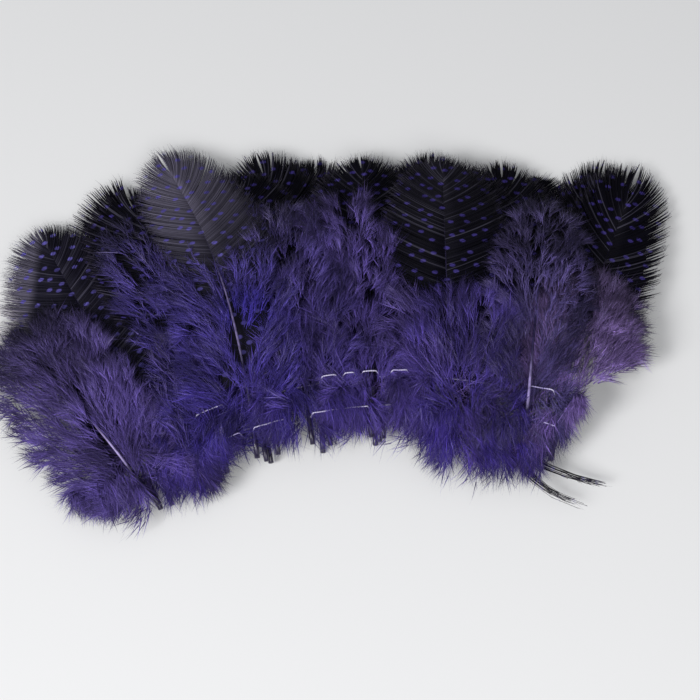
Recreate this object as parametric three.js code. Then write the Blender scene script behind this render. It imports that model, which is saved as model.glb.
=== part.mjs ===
// A sewn strip of dyed guinea fowl body feathers, lying flat with its quills to the front.
// Millimetres and degrees. +X runs along the strip, +Y from the quills to the tips, +Z up.
// Every feather is a thin cambered solid: a bare quill, a ragged downy base and a round vane.
// The feathers lie in levels, one sheet above the next, and two threads run over their bases.
import * as THREE from "three";

// The seam is an arc, and the feathers stand out from it like the ribs of a fan.
const SEAM_CENTRE = { x: 22.2, y: -166.3 };
const SEAM_RADIUS = 140;
const SEAM_FIRST_ANGLE = 122.2;
const SEAM_LAST_ANGLE = 72.5;
const SEAM_MIDDLE_ANGLE = (SEAM_FIRST_ANGLE + SEAM_LAST_ANGLE) / 2;
const QUILL_BELOW_SEAM = 9;
const FIRST_HEADING = 113;
const LAST_HEADING = 76;

// One feather, with its stretches as shares of its length from the quill's end.
const FEATHER_LENGTH = 95;
const FEATHER_HALF_WIDTH = 18;
const QUILL_HALF_WIDTH = 0.8;
const DOWN_STARTS = 0.13;
const DOWN_FULL = 0.2;
const VANE_STARTS = 0.45;
const TIP_STARTS = 0.64;
const DOWN_SHARE = 0.94;
const TIP_SHARE = 0.12;
const DOWN_NOTCH = 0.17;
const VANE_NOTCH = 0.045;
const LOBE_ENDS = 0.36;
// How far the down hangs past the quills, at even steps along the seam, as a share of the row's own lobe.
const LOBE_SHARES = [0.8, 0.9, 0.4, 0.3, 0.9, 1.1, -0.3];
const COLUMNS = 4;

// The pile: its depth follows the distance from the seam and drops towards both ends.
const PILE_LEAST = 5;
const PILE_RISE = 18;
const PILE_FRONT = -30;
const PILE_BACK = 105;
const END_DROP = 0.4;
const END_ANGLE = 28;
const SOLID_SHARE = 0.5;
const EDGE_THINNING = 0.35;
const SHAFT_RIDGE = 0.4;

// Three rows lie under the top one, from the bottom of the pile up. Neighbours take turns on LEVELS_A_ROW levels.
const LEVELS_A_ROW = 3;
const UNDER_ROWS = [
  { name: "bottom", count: 8, first: 0.03, last: 0.95, lobe: 24 },
  { name: "lower", count: 8, first: 0.0, last: 0.99, lobe: 16 },
  { name: "middle", count: 8, first: 0.05, last: 0.97, lobe: 10 },
];
const UNDER_STATIONS = [0, 0.11, 0.15, 0.22, 0.3, 0.39, 0.5, 0.64, 0.79, 0.92, 1];
const UNDER_SEED = 21;
const UNDER_TURN = 7;
const UNDER_BEND = 9;
const UNDER_LENGTH_SPREAD = 4;
const UNDER_WIDTH_SPREAD = 1;

// The top row, from left to right: place along the seam from 0 to 1, turn away from the fan's direction there,
// bend from quill to tip, level above the rows below, and where the vane starts (1 for a downy feather).
const TOP_ROW = [
  { place: 0.0, turn: 20, bend: -10, length: 70, halfWidth: 19, level: 1, vane: 1 },
  { place: 0.12, turn: 3, bend: 0, length: 44, halfWidth: 14, level: 0, vane: 1 },
  { place: 0.26, turn: -6, bend: 20, length: 106, halfWidth: 18.5, level: 2, vane: 0.42 },
  { place: 0.4, turn: 0, bend: 2, length: 78, halfWidth: 16, level: 1, vane: 1 },
  { place: 0.545, turn: 3, bend: 3, length: 80, halfWidth: 15, level: 0, vane: 1 },
  { place: 0.745, turn: 7, bend: -4, length: 93, halfWidth: 18, level: 1, vane: 0.42 },
  { place: 0.8, turn: 13, bend: -4, length: 43, halfWidth: 17, level: 2, vane: 1 },
  { place: 0.92, turn: 5, bend: -2, length: 82, halfWidth: 15, level: 3, vane: 1 },
  { place: 0.985, turn: -5, bend: 4, length: 60, halfWidth: 17, level: 0, vane: 1 },
];
const TOP_LOBE = 8;
const TOP_STATIONS = [
  0, 0.1, 0.145, 0.18, 0.22, 0.26, 0.3, 0.34, 0.38, 0.43, 0.48, 0.55, 0.62, 0.7, 0.78, 0.86, 0.93, 0.975, 1,
];

// One short lock that was sewn in back to front, so it lies outwards past the quills.
const TURNED = { place: 0.83, turn: -142, bend: 40, length: 30, halfWidth: 3.5, level: 4, vane: 1, lobe: 0, below: 4 };

const TOP_BASE_LEVEL = UNDER_ROWS.length * LEVELS_A_ROW;
const LAST_LEVEL = TOP_BASE_LEVEL + TURNED.level;

// The sewing thread.
const THREAD_DIAMETER = 0.4;
const THREAD_SIDES = 6;
const THREAD_STEPS = 34;
const THREAD_POINTS = 18;
const THREAD_CLEARANCE = 0.45;
const THREADS = [
  { name: "thread_lower", outwards: -2, first: 0.02, last: 0.98 },
  { name: "thread_upper", outwards: 7, first: 0.04, last: 0.97 },
];

const radians = THREE.MathUtils.degToRad;
const smooth = THREE.MathUtils.smoothstep;

// A repeatable variation between -amount and +amount.
function vary(seed, amount) {
  const wave = Math.sin(seed * 12.9898) * 43758.5453;
  return amount * (2 * (wave - Math.floor(wave)) - 1);
}

function seamAngle(place) {
  return THREE.MathUtils.lerp(SEAM_FIRST_ANGLE, SEAM_LAST_ANGLE, place);
}

function seamPoint(place, outwards) {
  const angle = radians(seamAngle(place));
  const reach = SEAM_RADIUS + outwards;
  return new THREE.Vector2(SEAM_CENTRE.x + reach * Math.cos(angle), SEAM_CENTRE.y + reach * Math.sin(angle));
}

// The height between two neighbouring levels at a place in plan.
function levelSpacing(x, y) {
  const fromCentre = new THREE.Vector2(x - SEAM_CENTRE.x, y - SEAM_CENTRE.y);
  const outwards = fromCentre.length() - SEAM_RADIUS;
  const across = THREE.MathUtils.clamp((outwards - PILE_FRONT) / (PILE_BACK - PILE_FRONT), 0, 1);
  const depth = PILE_LEAST + PILE_RISE * Math.sin(Math.PI * across) ** 2;
  const turned = THREE.MathUtils.radToDeg(fromCentre.angle()) - SEAM_MIDDLE_ANGLE;
  return (depth * (1 - END_DROP * (turned / END_ANGLE) ** 2)) / LAST_LEVEL;
}

// Half width of a feather at a share of its length, before the notches.
function halfWidthAt(feather, share) {
  if (share < DOWN_STARTS) return QUILL_HALF_WIDTH;
  const flare = DOWN_SHARE * smooth(share, DOWN_STARTS - 0.06, DOWN_FULL);
  const body = flare + (1 - DOWN_SHARE) * smooth(share, DOWN_FULL, TIP_STARTS);
  const tip = Math.max(0, share - TIP_STARTS) / (1 - TIP_STARTS);
  return feather.halfWidth * Math.max(TIP_SHARE, body * Math.sqrt(1 - tip * tip));
}

// The shaft bends as an arc. Returns a point on it and the direction there, for a distance from the quill's end.
function shaftAt(feather, along) {
  const start = seamPoint(feather.place, -feather.below);
  const heading = radians(THREE.MathUtils.lerp(FIRST_HEADING, LAST_HEADING, feather.place) + feather.turn);
  const curve = radians(feather.bend || 1e-4) / feather.length;
  const direction = heading + curve * along;
  return {
    x: start.x + (Math.sin(direction) - Math.sin(heading)) / curve,
    y: start.y + (Math.cos(heading) - Math.cos(direction)) / curve,
    direction,
  };
}

// A point of the feather in plan: share of the length, and across from -1 at the left edge to 1 at the right.
function planPoint(feather, share, across, notch) {
  const halfWidth = halfWidthAt(feather, share) * (1 - notch);
  const hang = share < DOWN_STARTS ? 0 : feather.lobe * (1 - smooth(share, DOWN_STARTS, LOBE_ENDS));
  const shaft = shaftAt(feather, share * feather.length - hang * Math.abs(across) ** 1.5);
  return new THREE.Vector2(
    shaft.x + across * halfWidth * Math.sin(shaft.direction),
    shaft.y - across * halfWidth * Math.cos(shaft.direction),
  );
}

// A box of stations and columns is mapped onto the feather: its outline in plan, then its sheet of the pile.
function featherGeometry(feather) {
  const last = feather.stations.length - 1;
  const geometry = new THREE.BoxGeometry(2, last, 1, COLUMNS, last, 1);
  const corners = geometry.getAttribute("position");
  for (let i = 0; i < corners.count; i++) {
    const across = corners.getX(i);
    const station = Math.round(corners.getY(i) + last / 2);
    const share = feather.stations[station];
    const ragged = share < DOWN_STARTS || station % 2 === 0 || station === last;
    const notch = ragged ? 0 : share < feather.vane ? DOWN_NOTCH : VANE_NOTCH;
    const point = planPoint(feather, share, across, notch);
    const spacing = levelSpacing(point.x, point.y);
    const profile = across === 0 ? 1 + SHAFT_RIDGE : 1 - EDGE_THINNING * Math.abs(across);
    const thickness = spacing * SOLID_SHARE * profile;
    const top = corners.getZ(i) > 0 ? thickness : 0;
    corners.setXYZ(i, point.x, point.y, feather.level * spacing + top);
  }
  geometry.computeVertexNormals();
  return geometry;
}

function lobeShare(place) {
  const step = place * (LOBE_SHARES.length - 1);
  const before = Math.min(Math.floor(step), LOBE_SHARES.length - 2);
  return THREE.MathUtils.lerp(LOBE_SHARES[before], LOBE_SHARES[before + 1], step - before);
}

function underFeathers() {
  return UNDER_ROWS.flatMap((row, rowIndex) =>
    Array.from({ length: row.count }, (_, k) => {
      const seed = UNDER_SEED + rowIndex * 10 + k;
      return {
        name: `feather_${row.name}_${k + 1}`,
        place: THREE.MathUtils.lerp(row.first, row.last, k / (row.count - 1)),
        turn: vary(seed, UNDER_TURN),
        bend: vary(seed + 0.31, UNDER_BEND),
        length: FEATHER_LENGTH + vary(seed + 0.57, UNDER_LENGTH_SPREAD),
        halfWidth: FEATHER_HALF_WIDTH + vary(seed + 0.83, UNDER_WIDTH_SPREAD),
        level: rowIndex * LEVELS_A_ROW + (k % LEVELS_A_ROW),
        lobe: row.lobe * lobeShare(k / (row.count - 1)),
        vane: VANE_STARTS,
        below: QUILL_BELOW_SEAM,
        stations: UNDER_STATIONS,
      };
    }),
  );
}

function topFeathers() {
  return TOP_ROW.map((feather, k) => ({
    ...feather,
    name: `feather_top_${k + 1}`,
    level: TOP_BASE_LEVEL + feather.level,
    lobe: TOP_LOBE * lobeShare(feather.place),
    below: QUILL_BELOW_SEAM,
    stations: TOP_STATIONS,
  }));
}

function turnedFeather() {
  return { ...TURNED, name: "feather_turned", level: LAST_LEVEL, stations: UNDER_STATIONS };
}

// A thread lies over the pile along the seam, above the highest sheet that it can meet there.
function threadGeometry(thread) {
  const radius = THREAD_DIAMETER / 2;
  const route = Array.from({ length: THREAD_POINTS }, (_, i) => {
    const place = THREE.MathUtils.lerp(thread.first, thread.last, i / (THREAD_POINTS - 1));
    const point = seamPoint(place, thread.outwards);
    const pileTop = (LAST_LEVEL + SOLID_SHARE) * levelSpacing(point.x, point.y);
    return new THREE.Vector3(point.x, point.y, pileTop + radius + THREAD_CLEARANCE);
  });
  const ring = new THREE.Shape(
    Array.from({ length: THREAD_SIDES }, (_, i) => {
      const angle = (2 * Math.PI * i) / THREAD_SIDES;
      return new THREE.Vector2(radius * Math.cos(angle), radius * Math.sin(angle));
    }),
  );
  return new THREE.ExtrudeGeometry(ring, {
    steps: THREAD_STEPS,
    extrudePath: new THREE.CatmullRomCurve3(route),
    bevelEnabled: false,
  });
}

const featherMaterial = new THREE.MeshStandardMaterial({ color: 0x33295f, roughness: 0.8, metalness: 0 });
const threadMaterial = new THREE.MeshStandardMaterial({ color: 0xc9c4de, roughness: 0.7, metalness: 0 });

const strip = new THREE.Group();
for (const feather of [...underFeathers(), ...topFeathers(), turnedFeather()]) {
  const mesh = new THREE.Mesh(featherGeometry(feather), featherMaterial);
  mesh.name = feather.name;
  strip.add(mesh);
}
for (const thread of THREADS) {
  const mesh = new THREE.Mesh(threadGeometry(thread), threadMaterial);
  mesh.name = thread.name;
  strip.add(mesh);
}

export default strip;
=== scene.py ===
"""A sewn strip of purple-dyed guinea fowl feathers, lying on a pale sheet.

The layout is the part's own: an arc of quills, four rows of feathers in levels and two runs of thread.
Here every feather is drawn barb by barb. In a feather's own plane, along runs up the shaft from the quill's
end and across runs out to its right, both in millimetres; lay() puts such places into the pile.
"""

import math
from types import SimpleNamespace

import bpy
import numpy as np
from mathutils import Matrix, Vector


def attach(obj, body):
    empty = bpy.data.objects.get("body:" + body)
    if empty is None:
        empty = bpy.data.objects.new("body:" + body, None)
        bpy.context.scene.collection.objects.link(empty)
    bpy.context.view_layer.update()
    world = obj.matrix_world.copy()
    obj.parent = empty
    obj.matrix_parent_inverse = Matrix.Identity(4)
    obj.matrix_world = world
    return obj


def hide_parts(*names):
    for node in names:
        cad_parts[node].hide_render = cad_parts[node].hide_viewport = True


MM = 0.001
MM2_A_CM2 = 100

# The seam
SEAM_CENTRE = (22.2, -166.3)
SEAM_RADIUS = 140.0
SEAM_FIRST_ANGLE = 122.2
SEAM_LAST_ANGLE = 72.5
SEAM_MIDDLE_ANGLE = (SEAM_FIRST_ANGLE + SEAM_LAST_ANGLE) / 2
QUILL_BELOW_SEAM = 9.0
FIRST_HEADING = 113.0
LAST_HEADING = 76.0

# One feather, its stretches as shares of its length
FEATHER_LENGTH = 95.0
FEATHER_HALF_WIDTH = 18.0
DOWN_STARTS = 0.13
DOWN_FULL = 0.2
VANE_STARTS = 0.45
TIP_STARTS = 0.64
SHAFT_ENDS = 0.94
DOWN_SHARE = 0.94
TIP_SHARE = 0.12
TIP_POWER = 2.5
FLARE_BEFORE_DOWN = 0.06
ALL_DOWN = 0.9
LOBE_ENDS = 0.36
LOBE_CURVE = 1.5
LOBE_SHARES = (0.8, 0.9, 0.4, 0.3, 0.9, 1.1, -0.3)

# The pile
PILE_LEAST = 5.0
PILE_RISE = 18.0
PILE_FRONT = -30.0
PILE_BACK = 105.0
END_DROP = 0.4
END_ANGLE = 28.0
SOLID_SHARE = 0.5
LEVELS_A_ROW = 3
TOP_BASE_LEVEL = 9
LAST_LEVEL = 13
LEAST_HEIGHT = 0.02
LEAST_STRAND_HEIGHT = 0.08
LEAST_BEND = 1e-4

# Rows under the top one: name, first and last place along the seam, and how far the down hangs past
# the quills
UNDER_ROWS = (("bottom", 0.03, 0.95, 24.0), ("lower", 0.0, 0.99, 16.0), ("middle", 0.05, 0.97, 10.0))
UNDER_COUNT = 8
UNDER_SEED = 21
UNDER_TURN = 7.0
UNDER_BEND = 9.0
UNDER_LENGTH_SPREAD = 4.0
UNDER_WIDTH_SPREAD = 1.0
UNDER_WARMTH = 0.8

# The top row: place, turn, bend, length, half width, level and where the vane starts, then its looks:
# how grey the vane is and how warm the purple is
TOP_ROW = (
    (0.0, 20, -10, 70, 19, 1, 1.0, 0.0, 0.15),
    (0.12, 3, 0, 44, 14, 0, 1.0, 0.0, 0.1),
    (0.26, -6, 20, 106, 18.5, 2, 0.42, 1.0, 0.0),
    (0.4, 0, 2, 78, 16, 1, 1.0, 0.0, 0.1),
    (0.545, 3, 3, 80, 15, 0, 1.0, 0.0, 0.2),
    (0.745, 7, -4, 93, 18, 1, 0.42, 0.1, 0.2),
    (0.8, 13, -4, 43, 17, 2, 1.0, 0.0, 0.1),
    (0.92, 5, -2, 82, 15, 3, 1.0, 0.0, 0.25),
    (0.985, -5, 4, 60, 17, 0, 1.0, 0.0, 0.9),
)
TOP_LOBE = 8.0
TOP_SEED = UNDER_SEED + 100

# The lock that lies outwards past the quills: place, turn, bend, length and half width
TURNED = (0.83, -142, 40, 30, 3.5)
TURNED_VANE = 0.15
TURNED_SEED = UNDER_SEED + 200

# Looks of a feather where none are given
ORDINARY_LOOKS = {
    "below": QUILL_BELOW_SEAM,  # how far below the seam the quill starts
    "grey": 0.0,  # how far the vane goes from black to grey
    "grey_from": 0.45,  # where the grey begins along the feather
    "grey_lean": 0.0,  # how much sooner it begins on the left
    "warm": 0.0,  # how far the purple goes to mauve
    "dull": 0.0,  # how far the down goes to slate
    "fading": 1.0,  # how soon the down turns light and then dark on its way to the tip
    # Above zero the down at the quill starts lighter: painted light where it lies in its own shade
    "light_base": 0.0,  # how much of that way it has gone at the quill
    "drape": 0.0,  # how far the down sinks at the tip and the sides, in millimetres
    "down_over": (0.0, 0.0),  # how far the down covers the vane, left and right
    "parting": (0.0, 1.3),  # how close the barbs of a lock in the vane draw together, least and most
    "lock_sizes": (6, 20),  # barbs in such a lock, fewest and most
    "left_side": (1.0, 1.0),  # reach of the barbs on the left, at the start of the vane and at the tip
    "right_side": (1.0, 1.0),  # the same on the right
    "ragged": 0.04,  # how uneven the ends of the barbs are
    "tip_reach": 1.0,  # reach of the barbs at the tip
    "shaft_ends": SHAFT_ENDS,  # where the shaft ends
    "sweep": 0.1,  # how far ahead of its root the first barb ends
    "widest": 1.0,  # the widest barb of the vane, in millimetres
}
# Looks of a row: locks of down to a square centimetre, locks over the quill, fine and coarse hairs on each
# barb, how far the down stands up and crowds to the base, and the millimetres from barb to barb in the vane
UNDER_LOOKS = {
    "locks_a_cm2": 1.4,
    "skirt": 6,
    "barbules": 5,
    "undercoat": 1,
    "fluff": 0.6,
    "crowding": 1.8,
    "spacing": 0.5,
}
TOP_LOOKS = {
    "locks_a_cm2": 4.0,
    "skirt": 14,
    "barbules": 23,
    "undercoat": 3,
    "fluff": 1.0,
    "crowding": 1.15,
    "spacing": 0.32,
}
TURNED_LOOKS = {
    "locks_a_cm2": 0,
    "skirt": 0,
    "vane_barbs": 24,
    "below": 4.0,
    "parting": (7, 7),
    "lock_sizes": (24, 24),
    "ragged": 0.13,
    "left_side": (1.5, 1.5),
    "right_side": (1.1, 1.1),
    "shaft_ends": 0.5,
    "sweep": 0.6,
    "widest": 0.13,
}
# Feathers that differ from their row in looks
FAR_LEFT = {
    "warm": 0.45,
    "skirt": 10,
    "locks_a_cm2": 3.0,
    "undercoat": 3,
    "grey": 1.0,
    "grey_from": 0.95,
    "grey_lean": 2.5,
}
CENTRE = {"drape": 1.5, "undercoat": 4, "barbules": 26}
OWN_LOOKS = {
    "feather_bottom_1": {**FAR_LEFT, "left_side": (1.3, 1.0)},
    "feather_bottom_4": {"tip_reach": 1.055},
    "feather_bottom_7": {"tip_reach": 0.945, "right_side": (1.0, 1.4)},
    "feather_bottom_8": {"tip_reach": 1.06},
    "feather_lower_1": {**FAR_LEFT, "left_side": (1.4, 1.0)},
    "feather_lower_2": {"tip_reach": 1.03, "left_side": (1.0, 1.45)},
    "feather_lower_8": {"right_side": (0.9, 0.95)},
    "feather_middle_1": {
        "warm": 0.35,
        "skirt": 10,
        "vane": 0.3,
        "down_over": (0.15, 0.0),
        "spacing": 0.38,
        "left_side": (1.15, 1.0),
        "grey": 1.0,
        "grey_from": 0.92,
        "grey_lean": 1.8,
    },
    "feather_middle_2": {
        "locks_a_cm2": 3.9,
        "barbules": 22,
        "undercoat": 3,
        "fluff": 1.0,
        "down_over": (0.42, 0.3),
        "spacing": 0.4,
        "left_side": (1.0, 1.4),
        "tip_reach": 1.02,
    },
    "feather_middle_4": {"tip_reach": 1.045},
    "feather_middle_7": {"tip_reach": 1.025},
    "feather_middle_8": {"tip_reach": 1.1, "spacing": 0.38, "right_side": (0.9, 0.98)},
    "feather_top_1": {
        "warm": 0.22,
        # Down lighter at its base: painted light on the skirt that lies in its own shade at the front
        "light_base": 0.3,
        "locks_a_cm2": 6.5,
        "skirt": 26,
        "barbules": 26,
        "undercoat": 7,
        "drape": 4.0,
    },
    "feather_top_3": {
        "fading": 0.78,
        "down_over": (0.1, 0.06),
        "spacing": 0.28,
        "parting": (0.0, 1.1),
        "left_side": (0.62, 1.0),
        "tip_reach": 1.025,
    },
    "feather_top_4": {**CENTRE, "skirt": 20, "fading": 1.1},
    "feather_top_5": {**CENTRE, "skirt": 24, "fading": 0.93},
    "feather_top_6": {"fading": 0.7, "down_over": (-0.05, -0.05)},
    "feather_top_7": {"fading": 0.45, "down_over": (-0.12, -0.12)},
    "feather_top_8": {"dull": 0.6, "drape": 4.5},
    "feather_top_9": {"locks_a_cm2": 6.0, "undercoat": 5, "fading": 1.08, "drape": 3.0},
}
# Shafts that show through the down: how pale they are, and from where to where
BARE_SHAFTS = {
    "feather_top_1": (0.9, 0.24, 0.38),
    "feather_top_3": (0.45, 0.3, 0.5),
    "feather_top_8": (1.0, 0.17, 0.25),
}

# The shaft: its radius at shares of its length, the half width that has it in full, and how high it lies
SHAFT_SECTIONS = 24
SHAFT_SIDES = 6
SHAFT_RADII = ((0, 0.1, 0.16, 0.45, 1), (0.75, 0.8, 0.45, 0.26, 0.08))
SHAFT_FULL_AT = 10
SHAFT_LIFT = 0.3
BARE_LIFT = 1.6
BARE_EASE = 0.05
BARE_TAIL = 0.1

# The close mass under the barbs: where it ends, how it rounds off, its share of the feather's width, and
# how high its two faces lie
CORE_SECTIONS = 16
CORE_COLUMNS = 9
CORE = SimpleNamespace(
    ends=0.9,
    past_bare=1.2,
    round_from=0.7,
    round_long=0.302,
    flare=0.03,
    widths=(0.6, 0.72),
    hang=0.5,
    top=0.1,
    arch=0.3,
    under=-0.4,
)

# The flat barbs of a vane: how high they lie, arch and stray, how they leave the shaft, and their widths
VANE_SECTIONS = 5
OUTLINE_STEPS = 200
TIP_PAST = 1.005
BLADE = SimpleNamespace(
    lift=0.42,
    camber=0.8,
    stray=0.15,
    uneven=0.05,
    bow=10,
    roll=(10, 5),
    ridge=0.3,
    root_width=0.75,
    end_width=2.2,
    taper=((0, 0.5, 0.75, 1), (1.2, 1.1, 0.9, 0.15)),
    narrowest=0.07,
)

# Locks all over the down: how they spread over the feather and keep off a bare shaft, their fan in degrees
# along the feather, their length in half widths and their height
GOLDEN = 0.618034
BODY = SimpleNamespace(
    reach=0.85,
    uneven=0.05,
    spread=0.92,
    bare_left=0.3,
    bare_right=0.7,
    highest=0.93,
    before_bare=0.12,
    after_bare=0.03,
    beside_bare=0.1,
    base_fan=75,
    lobe_fan=4.5,
    lobes=(-10, 12),
    fan_places=(0.3, 0.6, 0.95),
    fans=(62, 46, 34),
    fan_at_bare=0.3,
    fan_at_shaft=0.08,
    fan_uneven=12,
    lengths=(0.42, 0.85),
    shortening=((0.7, 1), (1, 0.6)),
    heights=(0, 1.6),
    base_heights=(0.3, 0.9),
)

# Locks that hang over the quill: how many by the depth to the lower edge, their spread, drop, length, way
# and height
SKIRT = SimpleNamespace(
    usual_depth=9,
    counts=(0.5, 2.0),
    outwards=0.6,
    reach=0.85,
    bare_reach=3.5,
    least_reach=0.15,
    least_depth=2.0,
    drops=(0.3, 1.0),
    lengths=(6, 11),
    past_drop=4,
    ways=(140, 178),
    pile_heights=(0.2, 0.8),
    heights=(0.5, 1.5),
)

# One lock of down: its barbs, how they spread, stray, curl and arch, and how they are cut to the outline
DOWN_SECTIONS = 4
BARBS_A_LOCK = 5
BARB_GAP = 0.6
LOCK = SimpleNamespace(
    above_hem=2,
    uneven=0.8,
    fan=5,
    stray=0.1,
    lengths=(0.75, 1.1),
    cuts=6,
    cut=0.86,
    edge=(0.86, 1.12),
    past_tip=1.01,
    bow=16,
    curl=0.45,
    curls=5,
    curl_starts=6,
    arches=(0.2, 1.8),
    lift=0.4,
    settles=0.4,
    loose=0.25,
    drape_from=0.55,
    drape_sides=0.6,
    own_shade=0.6,
    barb_reach=0.25,
    width=0.12,
    tip_width=0.5,
    # how far below the barbs the undercoat lies, and how much darker its hairs are: painted shade of the
    # depth under the down
    bed=0.4,
    bed_painted_shade=0.6,
)

# Hairs along a barb: from where to where, their lean, spin, length and thickness
BARBULES = SimpleNamespace(
    begin=0.03, finish=0.995, lean=19, spin=0.9, shortest=3.5, longest=8.0, thick=0.058
)
UNDERCOAT = SimpleNamespace(
    begin=0.0, finish=0.88, lean=20, spin=0.3, shortest=4.0, longest=7.5, thick=0.34
)
FRINGE = SimpleNamespace(
    begin=0.8, finish=0.995, lean=14, spin=0.5, shortest=1.2, longest=5.5, thick=0.09
)
FRINGE_HAIRS = 2
HAIR_LEANS = (0.4, 1.6)
HAIR_LENGTHS = ((0, 0.3, 0.75, 1), (0.7, 1, 0.9, 0.6))
HAIR_SHADES = 0.24

# Material slots of a feather
VANE, DOWN, QUILL = 0, 1, 2

# The maps: millimetres to a unit of the feather's plane, then the bands of the bake map, the stretch that a
# strand runs along and its corners' places across its line
PLANE_UNIT = 100
PLANE_MIDDLE = 0.5
BARB_BAND = 0.86
SHAFT_BAND = (0.862, 0.878)
CORE_BAND = (0.885, 0.99)
BAKE_FROM = 0.02
BAKE_LONG = 0.94
BAKE_CORNERS = (0.15, 0.85, 0.5)
BAKE_HAIR = 0.03
CORE_BAKE_FROM = 0.01
CORE_BAKE_LONG = 0.96
CORE_BAKE_HALF = 0.48
CORE_BAKE_STEP = (0.008, 0.004)
THREAD_BAKE_LONG = 0.96
THREAD_BANDS = ((0.05, 0.4), (0.55, 0.4))

# Lower edge of the strip's down in plan: places to the right, and how far back each one is
HEM = (
    (-95, -86, -80, -74, -70, -65, -61, -48, -41, -37, -34, -31, -26, -21, -15, -6, 0, 6, 12, 19, 24, 30)
    + (41, 52, 58, 62, 65, 66.5, 70, 76, 81, 86, 92),
    (-22, -37, -42, -47.5, -52.5, -57, -59, -58, -58, -54, -48, -45, -41, -39, -40.5, -40.5, -37, -36.5)
    + (-39.5, -38, -40, -47, -50, -51, -49, -44, -35, -28, -22, -17.5, -12, -3, 8),
)
# How far the barbs of any lock may hang past it, and how much further those of some locks may
HEM_PAST = 0.5
HEM_SPILL = 4.5

# Gaps in the down, where the feathers below show: places in plan and their size
CLEARINGS = (
    (-63.0, -1.0, 4.0),
    (-60.0, -7.0, 5.0),
    (-56.0, -12.5, 5.5),
    (-53.0, -18.0, 5.0),
    (-50.5, -23.0, 3.5),
)

# Threads: name, outwards from the seam, first and last place, the stitches that lie on top, and how much
# higher the run lies at places along it
THREADS = (
    (
        "thread_lower",
        -2.0,
        (0.02, 0.98),
        ((0.213, 0.235), (0.275, 0.345), (0.415, 0.47), (0.492, 0.54), (0.57, 0.6), (0.955, 0.98)),
        ((0.3, 0.5, 0.9, 0.95), (0.9, 0.2, 0.0, 1.6)),
    ),
    (
        "thread_upper",
        7.0,
        (0.04, 0.97),
        ((0.165, 0.22), (0.45, 0.475), (0.5, 0.515), (0.54, 0.565), (0.605, 0.632), (0.91, 0.955)),
        ((0.25, 0.45, 0.9, 0.95), (-0.5, 0.0, 0.0, 1.6)),
    ),
)
THREAD_DIAMETER = 0.4
THREAD_CLEARANCE = 0.45
THREAD_SECTIONS = 400
THREAD_SIDES = 5
THREAD_TWISTS = 90
THREAD_SINKS = 0.7
THREAD_DIP = 4.0
THREAD_WAVE = 0.1
THREAD_WAVES = 140
STRAND_SWELL = 1.1
STITCH_TURN = 0.013

# Colours
VANE_BLACK = (0.002, 0.0017, 0.005, 1)
VANE_DARK_GREY = (0.01, 0.009, 0.018, 1)
VANE_GREY = (0.09, 0.082, 0.12, 1)
VANE_THIN = (0.4, 0.37, 0.42, 1)
VANE_FRINGE = (0.07, 0.06, 0.1, 1)
# Pale lines on the palest vane barbs: a painted highlight of barbs catching the light
VANE_PAINTED_HIGHLIGHT = (0.2, 0.19, 0.27, 1)
SPOTS_ON_BLACK = (0.035, 0.025, 0.15, 1)
SPOTS_ON_GREY = (0.09, 0.075, 0.3, 1)
COOL_DOWN = ((0.03, 0.016, 0.21, 1), (0.11, 0.08, 0.38, 1))
WARM_DOWN = ((0.15, 0.09, 0.38, 1), (0.45, 0.3, 0.7, 1))
STRONG_DOWN = (0.07, 0.045, 0.55, 1)
DARK_DOWN = (0.026, 0.022, 0.05, 1)
DULL_DOWN = (0.05, 0.044, 0.1, 1)
# Pale colour of the palest down hairs: a painted highlight of hairs catching the light
PALE_DOWN_PAINTED_HIGHLIGHT = (0.42, 0.36, 0.72, 1)
QUILL_END = (0.012, 0.007, 0.035, 1)
QUILL_DARK = (0.014, 0.009, 0.05, 1)
QUILL_PALE = (0.3, 0.24, 0.5, 1)
THREAD_PALE = (0.6, 0.56, 0.77, 1)
THREAD_STAINED = (0.34, 0.28, 0.58, 1)

# Patterns: how often they come along and across the plane or to a metre
SPOT_SCALE = (19.0, 27.0, 1.0)
SPOT_TURN = 45
STREAK_SCALE = (14.0, 5.5, 1.0)
FIBRE_SCALE = (160.0, 30.0, 1.0)
CLOUD_SCALE = 75.0
MOTTLE_SCALE = 600.0
STAIN_SCALE = 260.0

# Where the dye took most, in metres
STRONG_DYE = (-0.0245, -0.002, 0.017)

# The stage: sheet, sky and lights, each light with its place in metres, size and power
SHEET_SIZE = 3.0
SHEET_COLOUR = (0.84, 0.84, 0.845, 1)
SKY_COLOUR = (0.95, 0.97, 1.0, 1)
SKY_STRENGTH = 0.26
LIGHTS = (("key", (-1.0, -0.85, 0.93), 0.6, 20.0), ("front", (0.15, -0.75, 0.6), 0.5, 4.0))

# The camera, which sees VIEW_WIDTH metres across at its target
CAMERA_DISTANCE = 0.52
CAMERA_ELEVATION = 62
CAMERA_TARGET = (0.00455, -0.0048, 0.0)
VIEW_WIDTH = 0.203
SENSOR_WIDTH = 36


def vary(seed, amount):
    """A repeatable variation between -amount and +amount."""
    wave = math.sin(seed * 12.9898) * 43758.5453
    return amount * (2 * (wave - math.floor(wave)) - 1)


def lerp(a, b, t):
    return a + (b - a) * t


def smooth(x, low, high):
    t = np.clip((x - low) / (high - low), 0, 1)
    return t * t * (3 - 2 * t)


def seam_point(place, outwards):
    angle = np.radians(lerp(SEAM_FIRST_ANGLE, SEAM_LAST_ANGLE, place))
    reach = SEAM_RADIUS + outwards
    return SEAM_CENTRE[0] + reach * np.cos(angle), SEAM_CENTRE[1] + reach * np.sin(angle)


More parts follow.
